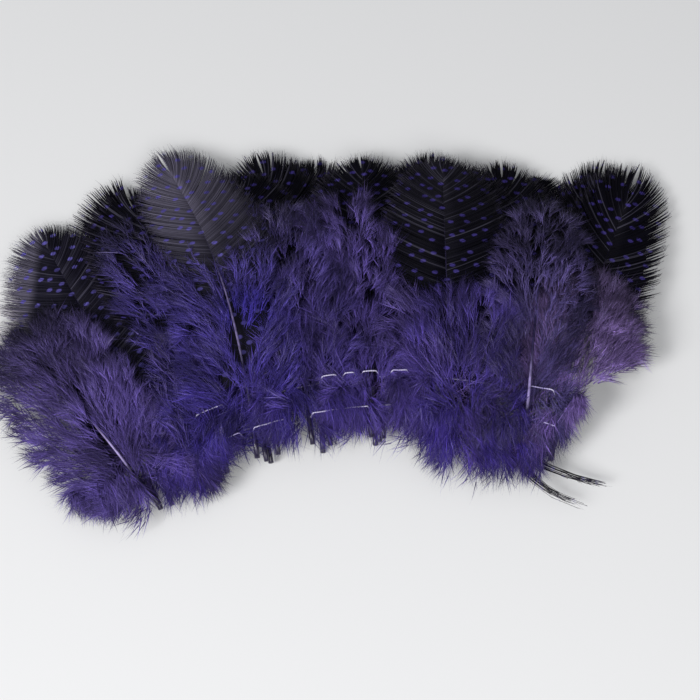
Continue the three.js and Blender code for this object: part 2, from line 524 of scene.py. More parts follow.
def level_spacing(x, y):
    """The height between two neighbouring levels at a place in plan."""
    dx, dy = x - SEAM_CENTRE[0], y - SEAM_CENTRE[1]
    outwards = np.hypot(dx, dy) - SEAM_RADIUS
    share = np.clip((outwards - PILE_FRONT) / (PILE_BACK - PILE_FRONT), 0, 1)
    depth = PILE_LEAST + PILE_RISE * np.sin(np.pi * share) ** 2
    turned = np.degrees(np.arctan2(dy, dx)) - SEAM_MIDDLE_ANGLE
    return depth * (1 - END_DROP * (turned / END_ANGLE) ** 2) / LAST_LEVEL


def lobe_share(place):
    return float(np.interp(place * (len(LOBE_SHARES) - 1), range(len(LOBE_SHARES)), LOBE_SHARES))


def feather(name, place, turn, bend, length, half_width, level, vane, lobe, **looks):
    """One feather's layout and looks, with the ordinary looks where none are given."""
    f = SimpleNamespace(
        name=name,
        place=place,
        turn=turn,
        bend=bend,
        length=length,
        half_width=half_width,
        level=level,
        vane=vane,
        lobe=lobe,
        **ORDINARY_LOOKS,
    )
    f.__dict__.update(looks)
    f.__dict__.update(OWN_LOOKS.get(name, {}))
    if "vane_barbs" not in looks:
        f.vane_barbs = int((SHAFT_ENDS - f.vane) * length / f.spacing) if f.vane < ALL_DOWN else 0
    f.down_ends = min(f.vane + sum(f.down_over) / 2, SHAFT_ENDS)
    f.locks = int(f.locks_a_cm2 * length * (f.down_ends - DOWN_STARTS) * half_width / (MM2_A_CM2 / 2))
    return f


def feathers():
    """Every feather of the strip, from the bottom of the pile up."""
    for row, (name, first, last, lobe) in enumerate(UNDER_ROWS):
        for k in range(UNDER_COUNT):
            seed = UNDER_SEED + row * 10 + k
            share = k / (UNDER_COUNT - 1)
            yield feather(
                f"feather_{name}_{k + 1}",
                lerp(first, last, share),
                vary(seed, UNDER_TURN),
                vary(seed + 0.31, UNDER_BEND),
                FEATHER_LENGTH + vary(seed + 0.57, UNDER_LENGTH_SPREAD),
                FEATHER_HALF_WIDTH + vary(seed + 0.83, UNDER_WIDTH_SPREAD),
                row * LEVELS_A_ROW + k % LEVELS_A_ROW,
                VANE_STARTS,
                lobe * lobe_share(share),
                bare_base=max(-lobe_share(share), 0),
                warm=UNDER_WARMTH * share**2,
                seed=seed,
                **UNDER_LOOKS,
            )
    for k, (place, turn, bend, length, half_width, level, vane, grey, warm) in enumerate(TOP_ROW):
        yield feather(
            f"feather_top_{k + 1}",
            place,
            turn,
            bend,
            length,
            half_width,
            TOP_BASE_LEVEL + level,
            vane,
            TOP_LOBE * lobe_share(place),
            bare_base=max(-lobe_share(place), 0),
            grey=grey,
            warm=warm,
            seed=TOP_SEED + k,
            **TOP_LOOKS,
        )
    yield feather("feather_turned", *TURNED, LAST_LEVEL, TURNED_VANE, 0.0, seed=TURNED_SEED, **TURNED_LOOKS)


def half_width_at(f, share):
    """Half width of a feather at a share of its length."""
    share = np.asarray(share, float)
    flare = DOWN_SHARE * smooth(share, DOWN_STARTS - FLARE_BEFORE_DOWN, DOWN_FULL)
    body = flare + (1 - DOWN_SHARE) * smooth(share, DOWN_FULL, TIP_STARTS)
    tip = np.clip((share - TIP_STARTS) / (1 - TIP_STARTS), 0, 1)
    return f.half_width * np.maximum(TIP_SHARE, body * np.sqrt(1 - tip**TIP_POWER))


def lay(f, along, across, lift):
    """Places of the feather's plane in the pile, in metres. lift is the height above the feather's level."""
    x0, y0 = seam_point(f.place, -f.below)
    heading = math.radians(lerp(FIRST_HEADING, LAST_HEADING, f.place) + f.turn)
    curve = math.radians(f.bend or LEAST_BEND) / f.length
    direction = heading + curve * along
    x = x0 + (np.sin(direction) - math.sin(heading)) / curve + across * np.sin(direction)
    y = y0 + (math.cos(heading) - np.cos(direction)) / curve - across * np.cos(direction)
    spacing = level_spacing(x, y)
    z = np.maximum((f.level + SOLID_SHARE / 2) * spacing + lift, LEAST_STRAND_HEIGHT)
    return np.stack([x, y, z], -1) * MM


class Weave:
    """Collects a piece's vertices, triangles, looks and places in its maps, then makes one mesh of them."""

    def __init__(self):
        self.points, self.faces, self.slots = [], [], []
        self.plane, self.strip, self.shade, self.reach = [], [], [], []
        self.count = 0

    def add(self, points, faces, slot, plane, strip, shade, reach):
        self.points.append(points.reshape(-1, 3))
        self.faces.append(faces.reshape(-1, 3) + self.count)
        self.slots.append(np.full(faces.size // 3, slot, np.int32))
        self.plane.append(plane.reshape(-1, 2))
        self.strip.append(strip.reshape(-1, 2))
        self.shade.append(shade.ravel())
        self.reach.append(reach.ravel())
        self.count += len(self.points[-1])

    def mesh(self, name, materials, constants):
        points = np.concatenate(self.points).astype(np.float32)
        points[:, 2] = np.maximum(points[:, 2], LEAST_HEIGHT * MM)
        faces = np.concatenate(self.faces).astype(np.int32)
        mesh = bpy.data.meshes.new(name)
        mesh.vertices.add(len(points))
        mesh.vertices.foreach_set("co", points.ravel())
        mesh.loops.add(faces.size)
        mesh.loops.foreach_set("vertex_index", faces.ravel())
        mesh.polygons.add(len(faces))
        mesh.polygons.foreach_set("loop_start", np.arange(0, faces.size, 3, dtype=np.int32))
        mesh.polygons.foreach_set("loop_total", np.full(len(faces), 3, np.int32))
        mesh.polygons.foreach_set("material_index", np.concatenate(self.slots))
        mesh.polygons.foreach_set("use_smooth", np.ones(len(faces), bool))
        for material in materials:
            mesh.materials.append(material)
        for map_name, places in (("feather_plane", self.plane), ("OFBake", self.strip)):
            layer = mesh.uv_layers.new(name=map_name)
            layer.data.foreach_set("uv", np.concatenate(places).astype(np.float32)[faces.ravel()].ravel())
        values = {"shade": np.concatenate(self.shade), "reach": np.concatenate(self.reach)}
        for key, value in constants.items():
            values[key] = np.full(len(points), value)
        for key, value in values.items():
            mesh.attributes.new(key, "FLOAT", "POINT").data.foreach_set("value", value.astype(np.float32))
        mesh.update(calc_edges=True)
        mesh.validate()
        return mesh


def unit(v):
    return v / np.maximum(np.linalg.norm(v, axis=-1, keepdims=True), 1e-12)


def frames(paths, roll):
    """Tangent, side and normal along each path, turned about the tangent by roll."""
    tangent = unit(np.gradient(paths, axis=1))
    side = unit(np.cross(tangent, np.array([0.0, 0.0, 1.0])))
    normal = np.cross(side, tangent)
    c, s = np.cos(roll)[..., None], np.sin(roll)[..., None]
    return tangent, side * c + normal * s, normal * c - side * s


def strand_faces(count, sections):
    """Triangles of closed three-sided strands, three corners to a section."""
    ring = np.arange(3)
    step = np.arange(sections - 1)[:, None] * 3
    a, b = step + ring, step + (ring + 1) % 3
    walls = np.concatenate([np.stack([a, b + 3, b], -1), np.stack([a, a + 3, b + 3], -1)]).reshape(-1, 3)
    end = 3 * (sections - 1)
    one = np.concatenate([walls, [[0, 1, 2], [end, end + 2, end + 1]]])
    return one[None] + (np.arange(count) * 3 * sections)[:, None, None]


def ribbons(paths, width, height, roll):
    """Corners of flat strands along the paths, with a low ridge on top."""
    _, side, normal = frames(paths, roll)
    half = side * (width * MM / 2)[..., None]
    return np.stack([paths - half, paths + half, paths + normal * (height * MM)[..., None]], 2)


def bezier(start, middle, end, t):
    """Points of each quadratic curve; start, middle and end are (barbs, 2)."""
    t = t[None, :, None]
    return start[:, None] * (1 - t) ** 2 + middle[:, None] * 2 * t * (1 - t) + end[:, None] * t**2


def locks(rng, count, least, most):
    """Gathers barbs into locks: how far each is from its lock's middle, -1 to 1, and which lock it is in."""
    offset, lock = np.zeros(count), np.zeros(count, int)
    start, number = 0, 0
    while start < count:
        stop = min(count, start + int(rng.integers(least, most + 1)))
        offset[start:stop] = np.linspace(-1, 1, stop - start) if stop - start > 1 else 0
        lock[start:stop] = number
        start, number = stop, number + 1
    return offset, lock


def bake_run(t, begin=BAKE_FROM, long=BAKE_LONG):
    """Places along a strand's line of the bake map."""
    return begin + long * t


def strip_places(rows, first, count, t):
    """Each barb's own line of the bake map: u along the barb, v across its line."""
    v = BARB_BAND * (first + np.arange(count)[:, None, None] + np.array(BAKE_CORNERS)) / rows
    return np.stack(np.broadcast_arrays(bake_run(t)[None, :, None], v), -1)


def plane_places(along, across):
    """Places of the feather's plane in the map that its patterns follow."""
    return np.stack([PLANE_MIDDLE + across / PLANE_UNIT, along / PLANE_UNIT], -1)


def tube_faces(sections, sides):
    """Triangles of a closed tube whose rings follow one another."""
    step = np.arange(sections - 1)[:, None] * sides
    a, b = step + np.arange(sides), step + (np.arange(sides) + 1) % sides
    walls = np.concatenate([np.stack([a, b + sides, b], -1), np.stack([a, a + sides, b + sides], -1)])
    fan = np.arange(1, sides - 1)
    zero = np.zeros_like(fan)
    last = sides * (sections - 1)
    caps = [np.stack([zero, fan, fan + 1], -1), last + np.stack([zero, fan + 1, fan], -1)]
    return np.concatenate([walls.reshape(-1, 3), *caps])


def tube_points(centre, radius, sides):
    """Rings of points round a line of places, (sections, sides, 3)."""
    _, side, normal = frames(centre[None], np.zeros((1, len(centre))))
    turn = np.arange(sides)[:, None] * 2 * np.pi / sides
    ring = side[0][:, None] * np.cos(turn) + normal[0][:, None] * np.sin(turn)
    return centre[:, None] + ring * np.reshape(radius, (-1, 1, 1))


def add_shaft(weave, f):
    """Quill and shaft in one tapering tube."""
    t = np.linspace(0, 1, SHAFT_SECTIONS)
    along = t * f.shaft_ends * f.length
    radius = np.interp(t, *SHAFT_RADII) * min(1, f.half_width / SHAFT_FULL_AT)
    pale, begin, stop = BARE_SHAFTS.get(f.name, (0.0, 0.0, 1.0))
    bare = 0 * t
    if pale:
        bare = smooth(t, begin - BARE_EASE, begin) * (1 - smooth(t, stop - BARE_EASE, stop + BARE_TAIL))
    centre = lay(f, along, np.zeros_like(t), SHAFT_LIFT + BARE_LIFT * bare)
    points = tube_points(centre, radius * MM, SHAFT_SIDES)
    ones = np.ones((SHAFT_SECTIONS, SHAFT_SIDES))
    plane = plane_places(along[:, None] * ones, 0 * ones)
    v = lerp(*SHAFT_BAND, np.abs(np.linspace(-1, 1, SHAFT_SIDES)))
    strip = np.stack(np.broadcast_arrays(bake_run(t)[:, None], v), -1)
    faces = tube_faces(SHAFT_SECTIONS, SHAFT_SIDES)
    weave.add(points, faces, QUILL, plane, strip, (pale * bare)[:, None] * ones, t[:, None] * ones)


def add_core(weave, f, rng, begin, stop):
    """The close mass under the barbs: a thin closed slab, narrower than the feather and round at its end; its
    darkest tone is painted shade of the pile's depth.
    """
    share = np.linspace(begin, stop, CORE_SECTIONS)[:, None]
    column = np.linspace(-1, 1, CORE_COLUMNS)[None]
    past = (share - lerp(begin, stop, CORE.round_from)) / (CORE.round_long * (stop - begin))
    ending = np.sqrt(1 - np.clip(past, 0, 1) ** 2)
    full = half_width_at(f, np.maximum(share, DOWN_STARTS + CORE.flare))
    half = full * ending * rng.uniform(*CORE.widths, share.shape)
    along = share * f.length - CORE.hang * lobe_hang(f, share) * np.abs(column) ** LOBE_CURVE
    across = half * column * np.where(column < 0, min(*f.left_side, 1.0), 1.0)
    ones = np.ones_like(along)
    top = lay(f, along, across, (CORE.top - CORE.arch * column**2) * ones)
    under = lay(f, along, across, CORE.under * ones)
    grid = np.arange(CORE_SECTIONS * CORE_COLUMNS).reshape(CORE_SECTIONS, CORE_COLUMNS)
    a, b, c, d = grid[:-1, :-1], grid[:-1, 1:], grid[1:, 1:], grid[1:, :-1]
    upper = np.concatenate([np.stack([a, b, c], -1), np.stack([a, c, d], -1)]).reshape(-1, 3)
    rim = np.concatenate([grid[0, :-1], grid[:-1, -1], grid[-1, :0:-1], grid[:0:-1, 0]])
    ahead = np.roll(rim, -1)
    low = grid.size
    wall = [np.stack([rim, rim + low, ahead + low], -1), np.stack([rim, ahead + low, ahead], -1)]
    faces = np.concatenate([upper, upper[:, ::-1] + low, *wall])
    u = bake_run((share - begin) / (stop - begin), CORE_BAKE_FROM, CORE_BAKE_LONG) * ones
    v = lerp(*CORE_BAND, 0.5 + CORE_BAKE_HALF * column) * ones
    upper_strip = np.stack([u, v], -1)
    strip = np.stack([upper_strip, upper_strip + CORE_BAKE_STEP])
    plane = plane_places(along, across)
    # Zero shade gives the slab the darkest tone. Under the vane it closes the barbs; under the down it is a
    # dark sheet of painted shade for the depth
    flat = np.zeros((2, *along.shape))
    weave.add(np.stack([top, under]), faces, VANE, np.stack([plane, plane]), strip, flat, flat)


def lobe_hang(f, share):
    """How far the down hangs back past its place, most at the quill."""
    return f.lobe * (1 - smooth(share, DOWN_STARTS, LOBE_ENDS))


def outline(f, begin, places):
    """Places on the right edge of a feather, at shares of the way round it from begin to the tip."""
    share = np.linspace(begin, 1, OUTLINE_STEPS)
    stretch = 1 + (f.tip_reach - 1) * smooth(share, TIP_STARTS, 1)
    edge = np.stack([share * f.length * stretch - lobe_hang(f, share), half_width_at(f, share)], -1)
    edge = np.concatenate([edge, [[TIP_PAST * f.tip_reach * f.length, 0.0]]])
    way = np.concatenate([[0], np.cumsum(np.linalg.norm(np.diff(edge, axis=0), axis=1))])
    return np.stack([np.interp(places * way[-1], way, edge[:, i]) for i in (0, 1)], -1)


def curves(start, end, bow, t):
    """Places along barbs from the shaft to their ends, leaving it turned by bow out of the straight way."""
    along, across = (end - start).T
    turn = bow * np.where(end[:, 1] < 0, -1, 1)
    cos, sin = np.cos(turn), np.sin(turn)
    leave = np.stack([along * cos - across * sin, along * sin + across * cos], -1)
    return bezier(start, start + leave / 2, end, t)


def add_barbs(weave, rows, first, slot, points, plane, shade, t, reach):
    """Adds strands given by their corners, with one line of the bake map each."""
    count, sections = points.shape[:2]
    ones = np.ones((count, sections, 3))
    faces = strand_faces(count, sections)
    strip = strip_places(rows, first, count, t)
    plane = plane[:, :, None].repeat(3, 2)
    weave.add(points, faces, slot, plane, strip, shade[:, None, None] * ones, reach[..., None] * ones)


def add_vane(weave, f, rows, rng):
    """The flat barbs of both sides, each reaching the outline; locks part towards the edge."""
    t = np.linspace(0, 1, VANE_SECTIONS)
    count = f.vane_barbs
    spacing = (f.shaft_ends - f.vane) * f.length / count
    order = np.linspace(0, 1, count)
    first = 0
    for sign, side in ((-1, f.left_side), (1, f.right_side)):
        root = lerp(f.vane, f.shaft_ends, order) * f.length + rng.normal(0, BLADE.uneven, count)
        apart, lock = locks(rng, count, *f.lock_sizes)
        gather = rng.uniform(*f.parting, lock[-1] + 1)[lock] / count
        end = outline(f, f.vane + f.sweep, np.clip(order - gather * apart, 0, 1))
        start = np.stack([root, np.zeros(count)], -1)
        end = start + (end - start) * rng.normal(1.0, f.ragged, (count, 1)) * lerp(*side, order)[:, None]
        end[:, 1] *= sign
        places = curves(start, end, np.radians(BLADE.bow), t)
        camber = -BLADE.camber * (places[..., 1] / f.half_width) ** 2
        lift = BLADE.lift + camber + BLADE.stray * rng.normal(0, 1, (count, 1)) * t
        paths = lay(f, places[..., 0], places[..., 1], lift)
        end_gap = np.linalg.norm(np.gradient(end, axis=0), axis=1)
        end_width = np.minimum(end_gap, BLADE.end_width * spacing)[:, None]
        width = lerp(BLADE.root_width * spacing, end_width, t) * np.interp(t, *BLADE.taper)
        width = np.clip(width, BLADE.narrowest, f.widest)
        roll = np.radians(rng.normal(*BLADE.roll, (count, 1)) * sign) * np.ones_like(width)
        plane = plane_places(places[..., 0], places[..., 1])
        shade = rng.random(count)
        corners = ribbons(paths, width, BLADE.ridge * width, roll)
        reach = t * np.ones_like(width)
        add_barbs(weave, rows, first, VANE, corners, plane, shade, t, reach)
        add_hairs(weave, rng, rows, first, VANE, paths, plane, shade, reach, FRINGE, FRINGE_HAIRS)
        first += count
    return first


def above_hem(f, places):
    """How far places of the feather's plane are above the lower edge of the strip."""
    x, y = np.moveaxis(lay(f, places[..., 0], places[..., 1], 0.0)[..., :2], -1, 0) / MM
    return y - np.interp(x, *HEM)


def in_the_open(f, centre, way, long):
    """Which locks keep clear of the gaps in the down."""
    middle = centre + np.stack([np.cos(way), np.sin(way)], -1) * long[:, None] / 2
    plan = lay(f, middle[:, 0], middle[:, 1], 0.0)[:, :2] / MM
    return np.all([np.hypot(*(plan - [x, y]).T) > size for x, y, size in CLEARINGS], axis=0)


def down_place(f, share, column):
    """Where a share of the length and of the half width comes in the feather's plane, in its lobes too."""
    hang = lobe_hang(f, share) * np.abs(column) ** LOBE_CURVE
    return np.stack([share * f.length - hang, column * half_width_at(f, share)], -1)


def body_locks(f, rng):
    """Locks all over the downy stretch, fanning out from the shaft: roots, ways, lengths and heights."""
    number = np.arange(f.locks)
    spread = (number * GOLDEN + rng.normal(0, BODY.uneven, f.locks)) % 1
    column = 2 * BODY.reach * spread - BODY.reach
    column = np.sign(column) * np.abs(column) ** BODY.spread
    begin = DOWN_STARTS + np.where(column > 0, BODY.bare_right, BODY.bare_left) * f.bare_base
    stop = np.minimum(f.vane + np.where(column < 0, *f.down_over), BODY.highest)
    share = lerp(begin, stop, ((number + rng.random(f.locks)) / f.locks) ** f.crowding)
    _, bare_from, bare_to = BARE_SHAFTS.get(f.name, (0, 1, 1))
    bare = (share > bare_from - BODY.before_bare) & (share < bare_to + BODY.after_bare)
    column = np.sign(column) * np.maximum(np.abs(column), np.where(bare, BODY.beside_bare, 0))
    base_fan = BODY.base_fan + BODY.lobe_fan * np.clip(f.lobe, *BODY.lobes)
    fan = np.interp(share, [DOWN_STARTS, *BODY.fan_places], [base_fan, *BODY.fans])
    opened = lerp(np.where(bare, BODY.fan_at_bare, BODY.fan_at_shaft), 1, np.abs(column))
    way = np.radians(np.sign(column) * fan * opened + rng.normal(0, BODY.fan_uneven, f.locks))
    long = f.half_width * rng.uniform(*BODY.lengths, f.locks) * np.interp(share, *BODY.shortening)
    base = 1 - smooth(share, DOWN_STARTS, LOBE_ENDS)
    height = rng.uniform(*BODY.heights, f.locks)
    height = height + base * (LAST_LEVEL - f.level) * rng.uniform(*BODY.base_heights, f.locks)
    return down_place(f, share, column), way, long, height


def skirt_locks(f, rng):
    """Locks that hang down over the quill, as far as the lower edge."""
    depth = above_hem(f, np.array([f.length * DOWN_STARTS, 0.0]))
    count = int(f.skirt * np.clip(depth / SKIRT.usual_depth, *SKIRT.counts))
    reach = max(SKIRT.reach - SKIRT.bare_reach * f.bare_base, SKIRT.least_reach)
    column = rng.choice([-1, 1], count) * rng.random(count) ** SKIRT.outwards * reach
    centre = np.stack([np.full(count, f.length * DOWN_STARTS), column * f.half_width], -1)
    drop = np.maximum(above_hem(f, centre), SKIRT.least_depth) * rng.uniform(*SKIRT.drops, count)
    long = np.minimum(rng.uniform(*SKIRT.lengths, count), drop + SKIRT.past_drop)
    centre[:, 0] += long - drop
    way = np.radians(np.sign(column) * rng.uniform(*SKIRT.ways, count))
    height = (LAST_LEVEL - f.level) * rng.uniform(*SKIRT.pile_heights, count)
    return centre, way, long, height + rng.uniform(*SKIRT.heights, count)


def cut_to_outline(f, rng, start, turn, span, lock):
    """Shortens barbs that pass the feather's outline or the lower edge: their ends and lengths."""
    total = len(lock)
    spill = HEM_PAST + HEM_SPILL * (lock * GOLDEN % 1) ** 2
    for _ in range(LOCK.cuts):
        end = start + span[:, None] * np.stack([np.cos(turn), np.sin(turn)], -1)
        tip_share = end[:, 0] / f.length
        room = half_width_at(f, np.clip(tip_share, DOWN_FULL, 1)) * rng.uniform(*LOCK.edge, total)
        out = (np.abs(end[:, 1]) > room) | (tip_share > LOCK.past_tip) | (above_hem(f, end) < -spill)
        span = np.where(out, LOCK.cut * span, span)
    return end, span


def add_down(weave, f, rows, first, rng):
    """Soft locks of a few barbs each, laid over one another."""
    both = zip(body_locks(f, rng), skirt_locks(f, rng))
    centre, way, long, height = (np.concatenate(pair) for pair in both)
    kept = in_the_open(f, centre, way, long)
    centre, way, long, height = centre[kept], way[kept], long[kept], height[kept]
    centre[:, 0] += np.maximum(LOCK.above_hem - above_hem(f, centre), 0)
    number = len(way)
    lock = np.repeat(np.arange(number), BARBS_A_LOCK)
    step = np.tile(np.arange(BARBS_A_LOCK) - (BARBS_A_LOCK - 1) / 2, number)
    total = len(lock)
    heading = np.stack([np.cos(way), np.sin(way)], -1)[lock]
    right = np.stack([-heading[:, 1], heading[:, 0]], -1)
    beside = right * (step * BARB_GAP)[:, None]
    start = centre[lock] + beside + heading * rng.normal(0, LOCK.uneven, (total, 1))
    turn = way[lock] + np.radians(LOCK.fan) * step + rng.normal(0, LOCK.stray, total)
    span = long[lock] * rng.uniform(*LOCK.lengths, total)
    end, span = cut_to_outline(f, rng, start, turn, span, lock)
    bow = np.radians(rng.normal(0, LOCK.bow, number))[lock]
    t = np.linspace(0, 1, DOWN_SECTIONS)
    bend = start + span[:, None] / 2 * np.stack([np.cos(turn + bow), np.sin(turn + bow)], -1)
    places = bezier(start, bend, end, t)
    curl = LOCK.curl * np.sin(LOCK.curls * t + rng.uniform(0, LOCK.curl_starts, (total, 1))) * t
    places += curl[..., None] * right[:, None]
    along, across = places[..., 0], places[..., 1]
    arch = rng.uniform(*LOCK.arches, number)[lock, None] * np.sin(np.pi * t)
    stand = height[lock, None] * (1 - LOCK.settles * t) + arch + rng.normal(0, LOCK.loose, (total, 1)) * t
    sides = LOCK.drape_sides * (across / f.half_width) ** 2
    drape = f.drape * (smooth(along / f.length, LOCK.drape_from, 1.0) + sides)
    lift = LOCK.lift + f.fluff * stand - drape
    paths = lay(f, along, across, lift)
    lock_shade, barb_shade = rng.random(number)[lock], rng.random(total)
    shade = np.clip(lerp(barb_shade, lock_shade, LOCK.own_shade), 0, 1)
    reach = np.clip(lerp(along / (f.down_ends * f.length), t, LOCK.barb_reach), 0, 1)
    reach = f.fading * lerp(f.light_base, 1.0, reach)
    width = LOCK.width * lerp(1, LOCK.tip_width, t) * np.ones((total, 1))
    line = (first + np.arange(total))[:, None] * np.ones_like(t)
    grain = np.stack([span[:, None] * t / PLANE_UNIT, line], -1)
    corners = ribbons(paths, width, width, np.zeros_like(width))
    add_barbs(weave, rows, first, DOWN, corners, grain, shade, t, reach)
    add_hairs(weave, rng, rows, first, DOWN, paths, grain, shade, reach, BARBULES, f.barbules)
    # The undercoat on a bed below the barbs, darker than the barbs: painted shade of the depth under the down
    bed = lay(f, along, across, lift - LOCK.bed)
    bed_painted_shade = LOCK.bed_painted_shade * shade
    add_hairs(weave, rng, rows, first, DOWN, bed, grain, bed_painted_shade, reach, UNDERCOAT, f.undercoat)


def add_hairs(weave, rng, rows, first, slot, paths, plane, shade, reach, kind, each):
    """Fine hairs along each barb, as closed slivers with three sides."""
    count, sections = paths.shape[:2]
    where = lerp(kind.begin, kind.finish, (np.arange(each) + rng.random((count, each))) / each)
    place = where * (sections - 1)
    low = np.minimum(place.astype(int), sections - 2)
    part = (place - low)[..., None]
    barb = np.arange(count)[:, None]

    def between(values):
        return values[barb, low] * (1 - part) + values[barb, low + 1] * part

    tangent, side, normal = frames(paths, np.zeros((count, sections)))
    root, ahead, out, up = between(paths), unit(between(tangent)), between(side), between(normal)
    hand = np.where(np.arange(each) % 2 == 0, 1.0, -1.0)
    spin = rng.normal(0, kind.spin, (count, each))
    lean = np.radians(kind.lean * rng.uniform(*HAIR_LEANS, (count, each)))[..., None]
    away = out * (hand * np.cos(spin))[..., None] + up * np.sin(spin)[..., None]
    way = unit(ahead * np.cos(lean) + away * np.sin(lean))
    long = rng.uniform(kind.shortest, kind.longest, (count, each)) * np.interp(where, *HAIR_LENGTHS)
    tip = root + way * (long * MM)[..., None]
    one_way = unit(np.cross(way, ahead + 1e-6))
    other_way = np.cross(way, one_way)
    turns = np.arange(3) * 2 * np.pi / 3
    ring = [root + (one_way * np.cos(a) + other_way * np.sin(a)) * (kind.thick / 2 * MM) for a in turns]
    points = np.stack([*ring, tip], 2)
    one = np.array([[0, 1, 3], [1, 2, 3], [2, 0, 3], [0, 2, 1]])
    faces = one[None] + (np.arange(count * each) * 4)[:, None, None]
    flat = between(plane)[:, :, None].repeat(4, 2)
    corners = np.array([*BAKE_CORNERS, BAKE_CORNERS[-1]])
    v = BARB_BAND * (first + np.arange(count)[:, None, None] + corners) / rows
    u = bake_run(where[..., None]) + np.array([0, 0, 0, BAKE_HAIR])
    strip = np.stack(np.broadcast_arrays(u, v), -1)
    own_shade = np.clip(shade[:, None] + rng.normal(0, HAIR_SHADES, (count, each)), 0, 1)
    ones = np.ones(4)
    weave.add(points, faces, slot, flat, strip, own_shade[..., None] * ones, between(reach[..., None]) * ones)


def build_feather(f, materials):
    rng = np.random.default_rng(f.seed)
    weave = Weave()
    rows = 2 * f.vane_barbs + BARBS_A_LOCK * (f.locks + 2 * f.skirt)
    first = 0
    add_shaft(weave, f)
    if f.vane_barbs:
        if f.locks:
            add_core(weave, f, rng, DOWN_FULL + CORE.past_bare * f.bare_base, CORE.ends)
        first = add_vane(weave, f, rows, rng)
    if f.locks:
        add_down(weave, f, rows, first, rng)
    constants = {key: getattr(f, key) for key in ("grey", "grey_from", "grey_lean", "warm", "dull")}
    mesh = weave.mesh(f.name + "_barbs", materials, constants)
    piece = bpy.data.objects.new(f.name + "_barbs", mesh)
    bpy.context.scene.collection.objects.link(piece)
    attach(piece, "root")
    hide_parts(f.name)


def new_material(name):
    material = bpy.data.materials.new(name)
    material.use_nodes = True
    tree = material.node_tree
    return material, tree, tree.nodes["Principled BSDF"]


def wire(tree, made, links):
    """Fills a node's sockets. links holds (socket, value) pairs, each value a node's output or a constant."""
    for socket, value in links:
        if isinstance(value, bpy.types.NodeSocket):
            tree.links.new(value, made.inputs[socket])
        else:
            made.inputs[socket].default_value = value


def node(tree, kind, links=(), **settings):
    made = tree.nodes.new(kind)
    for key, value in settings.items():
        setattr(made, key, value)
    wire(tree, made, links)
    return made


def value_of(tree, name):
    return node(tree, "ShaderNodeAttribute", attribute_name=name).outputs["Fac"]


def plane_of(tree):
    return node(tree, "ShaderNodeUVMap", uv_map="feather_plane").outputs[0]


def place_of(tree):
    return node(tree, "ShaderNodeTexCoord").outputs["Object"]


def stretched(tree, vector, scale, degrees=0.0):
    """Places for a pattern, turned in the plane and scaled."""
    links = [(0, vector), (2, (0, 0, math.radians(degrees))), (3, scale)]
    return node(tree, "ShaderNodeMapping", links).outputs[0]


def noise(tree, vector, scale, detail, **settings):
    links = [("Vector", vector), ("Scale", scale), ("Detail", detail)]
    return node(tree, "ShaderNodeTexNoise", links, **settings).outputs["Fac"]


def bumped(tree, height, strength, distance):
    links = [("Height", height), ("Strength", strength), ("Distance", distance)]
    return node(tree, "ShaderNodeBump", links).outputs[0]


def blend(tree, factor, a, b):
    return node(tree, "ShaderNodeMix", [(0, factor), (6, a), (7, b)], data_type="RGBA").outputs[2]


def ranged(tree, value, low, high, to_low, to_high):
    links = [(0, value), (1, low), (2, high), (3, to_low), (4, to_high)]
    return node(tree, "ShaderNodeMapRange", links, interpolation_type="SMOOTHSTEP").outputs[0]


def scaled(tree, colour, factor):
    return node(tree, "ShaderNodeVectorMath", [(0, colour), ("Scale", factor)], operation="SCALE").outputs[0]


def strand_tone_group():
    """Each strand's own lightness, from dark to light by its shade, the lightest of them going pale as a
    painted highlight.
    """
    group = bpy.data.node_groups.new("strand tone and highlight", "ShaderNodeTree")
    for name, kind in (
        ("Colour", "Color"),
        ("Shade", "Float"),
        ("Darkest", "Float"),
        ("Lightest", "Float"),
        ("Pale From", "Float"),
        ("Pale Share", "Float"),
        ("Pale Colour", "Color"),
    ):
        group.interface.new_socket(name, in_out="INPUT", socket_type="NodeSocket" + kind)
    group.interface.new_socket("Colour", in_out="OUTPUT", socket_type="NodeSocketColor")
    given = node(group, "NodeGroupInput").outputs
    light = ranged(group, given["Shade"], 0.0, 1.0, given["Darkest"], given["Lightest"])
    # The lightest strands blend to the pale colour: painted highlight
    pale = ranged(group, given["Shade"], given["Pale From"], 1.0, 0.0, given["Pale Share"])
    toned = blend(group, pale, scaled(group, given["Colour"], light), given["Pale Colour"])
    node(group, "NodeGroupOutput", [("Colour", toned)])
    return group


def strand_tone(tree, group, colour, tones, highlight_from, highlight_share, highlight_colour):
    links = [
        ("Colour", colour),
        ("Shade", value_of(tree, "shade")),
        ("Darkest", tones[0]),
        ("Lightest", tones[1]),
        ("Pale From", highlight_from),
        ("Pale Share", highlight_share),
        ("Pale Colour", highlight_colour),
    ]
    return node(tree, "ShaderNodeGroup", links, node_tree=group).outputs["Colour"]


